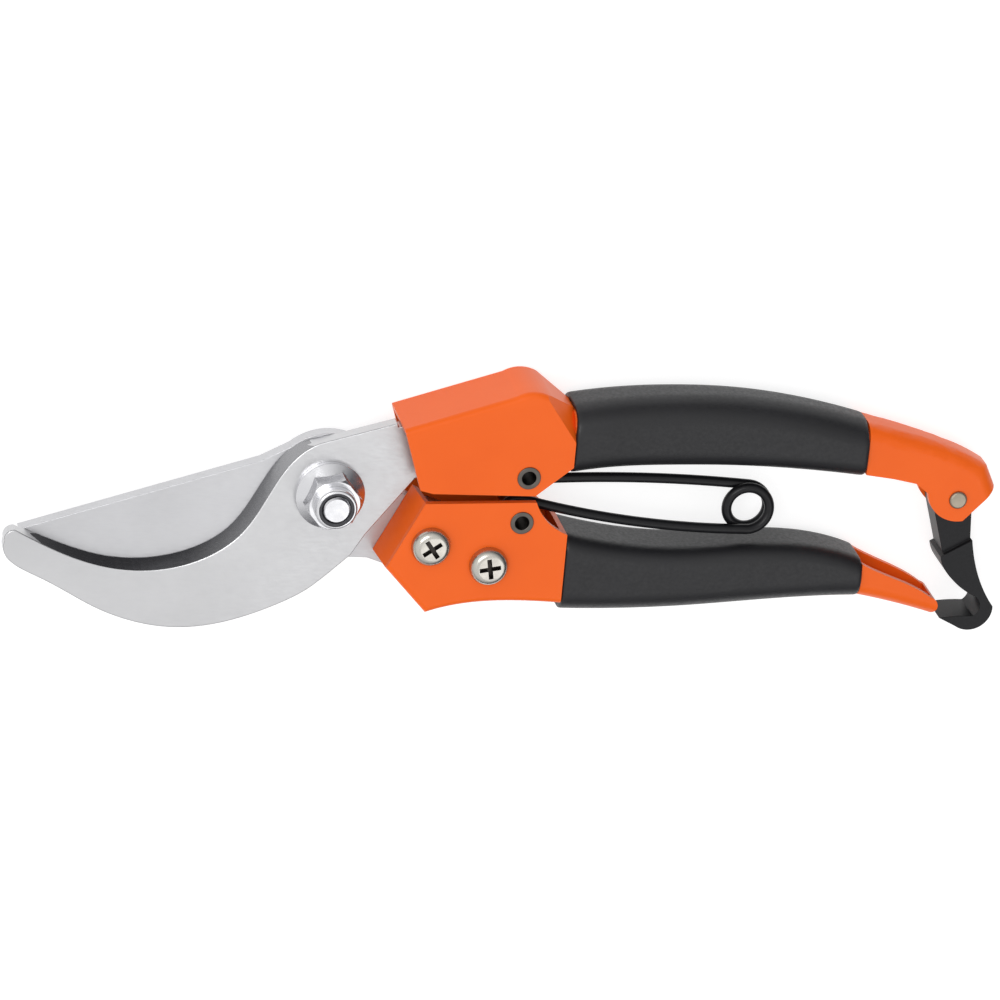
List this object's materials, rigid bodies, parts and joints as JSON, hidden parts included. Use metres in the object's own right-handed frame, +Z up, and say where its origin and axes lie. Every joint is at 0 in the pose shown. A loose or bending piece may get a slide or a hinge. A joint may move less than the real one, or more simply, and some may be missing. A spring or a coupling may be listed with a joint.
{
  "type": "bypass pruner",
  "caption": "Hand-held bypass pruner with pressed steel handles, soft grips, a hairpin spring and a swinging tail latch, stored closed.",
  "frame": {"origin": "centre of the bottom of the whole closed tool's box, on the surface that it lies on", "axes": "+X from the blades to the handle ends, +Y from the lower handle to the upper one, +Z up from the back flanges to the pivot nut"},
  "size_m": [0.2076, 0.054, 0.019],
  "materials": {
    "hook_steel": "satin ground steel",
    "blade_steel": "satin ground steel",
    "orange_paint": "gloss orange enamel on pressed steel",
    "grip_vinyl": "smooth black soft vinyl",
    "plain_steel": "plain steel",
    "screw_plating": "bright nickel plating",
    "pin_steel": "dull plated steel",
    "pivot_plating": "bright zinc plating",
    "spring_steel": "black lacquered spring wire",
    "nylon": "dark nylon",
    "latch_plastic": "satin black moulded plastic"
  },
  "bodies": {
    "upper_half": {"hook_blade": "hook_steel", "hook_packing_front": "plain_steel", "hook_packing_rear": "plain_steel", "upper_handle": "orange_paint", "upper_grip": "grip_vinyl", "upper_spring_pin": "pin_steel", "pivot_bolt": "pivot_plating", "pivot_nut": "pivot_plating", "nut_insert": "nylon", "latch_rivet": "pin_steel"},
    "lower_half": {"cutting_blade": "blade_steel", "blade_nut_plate": "plain_steel", "blade_sleeve_1": "plain_steel", "blade_sleeve_2": "plain_steel", "blade_screw_1": "screw_plating", "blade_screw_2": "screw_plating", "lower_handle": "orange_paint", "lower_grip": "grip_vinyl", "lower_spring_pin": "pin_steel"},
    "spring_upper": {"spring_upper_arm": "spring_steel"},
    "spring_lower": {"spring_lower_arm": "spring_steel"},
    "latch": {"latch": "latch_plastic"}
  },
  "joints": [
    {"name": "pivot", "type": "hinge", "parent": "upper_half", "child": "lower_half", "pos_m": [-0.03836, 0.0028, 0.007], "axis": [0, 0, -1], "range_deg": [0, 26]},
    {"name": "spring_eye", "type": "hinge", "parent": "upper_half", "child": "spring_upper", "pos_m": [0.00114, 0.0087, 0.0086], "axis": [0, 0, -1], "range_deg": [0, 19.03]},
    {"name": "spring_coil_twist", "type": "hinge", "parent": "spring_upper", "child": "spring_lower", "pos_m": [0.04914, -0.0001, 0.01], "axis": [0, 0, 1], "range_deg": [0, 20.9]},
    {"name": "latch_swing", "type": "hinge", "parent": "upper_half", "child": "latch", "pos_m": [0.09304, 0.0027, 0.008], "axis": [0, 0, 1], "range_deg": [-19, 55]}
  ],
  "couplings": [
    {"joint": "spring_eye", "follows": "pivot", "ratio": 0.7319},
    {"joint": "spring_coil_twist", "follows": "pivot", "ratio": 0.8036}
  ]
}
